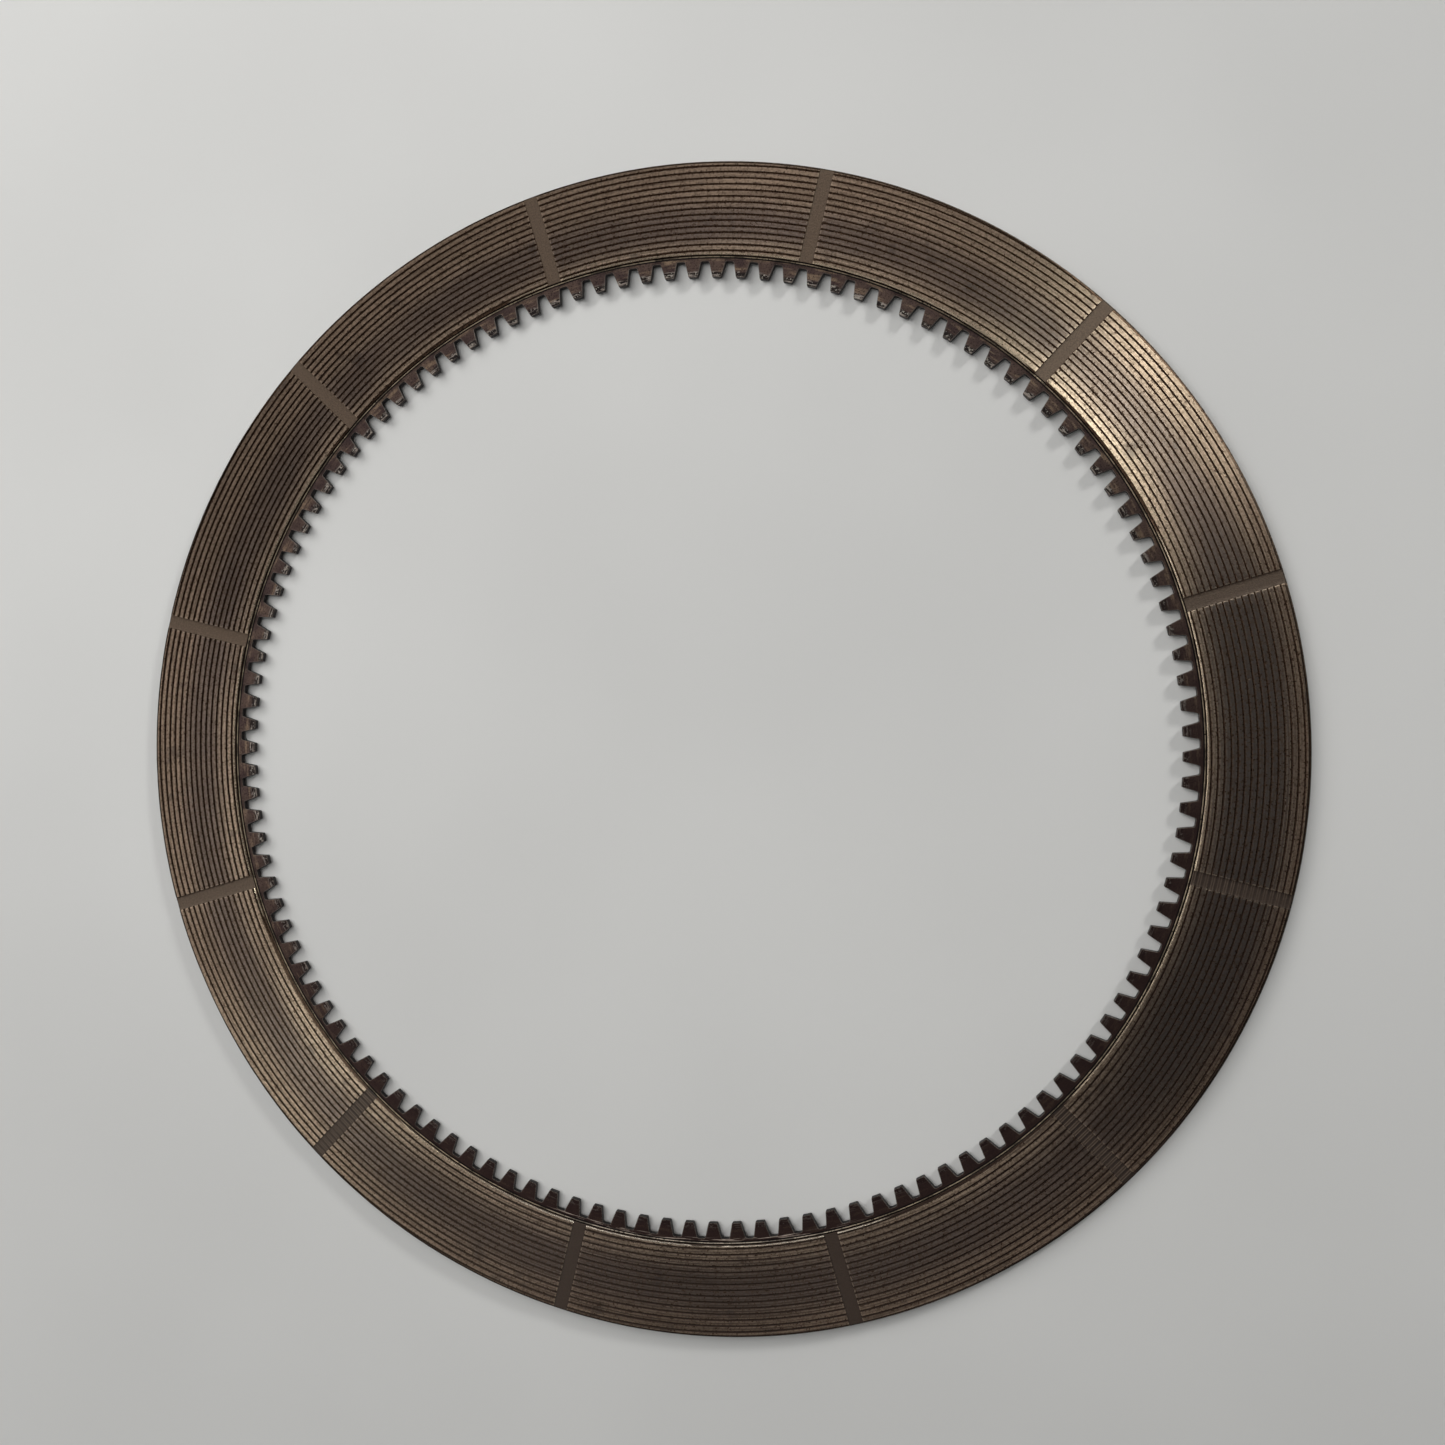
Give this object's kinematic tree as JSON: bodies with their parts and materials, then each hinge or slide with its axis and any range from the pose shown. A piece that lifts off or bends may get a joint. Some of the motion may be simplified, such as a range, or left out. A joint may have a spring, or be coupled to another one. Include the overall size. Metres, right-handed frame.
{
  "type": "friction disc",
  "caption": "Flat internally toothed steel ring with a sintered-bronze friction facing bonded to each side, cut by spiral oil grooves and radial oil channels.",
  "frame": {"origin": "on the disc's axis, half way through its thickness", "axes": "+Z along the axis, out of the front facing; +X along the middle of one radial channel"},
  "size_m": [0.38, 0.38, 0.004],
  "materials": {
    "core_steel": "dark brown-black sintering oxide, scuffed brighter at the tooth tips",
    "sintered_bronze": "matt grainy sinter, burnished on the lands"
  },
  "bodies": {
    "root": {"core_plate": "core_steel", "front_facing": "sintered_bronze", "rear_facing": "sintered_bronze"}
  },
  "joints": []
}
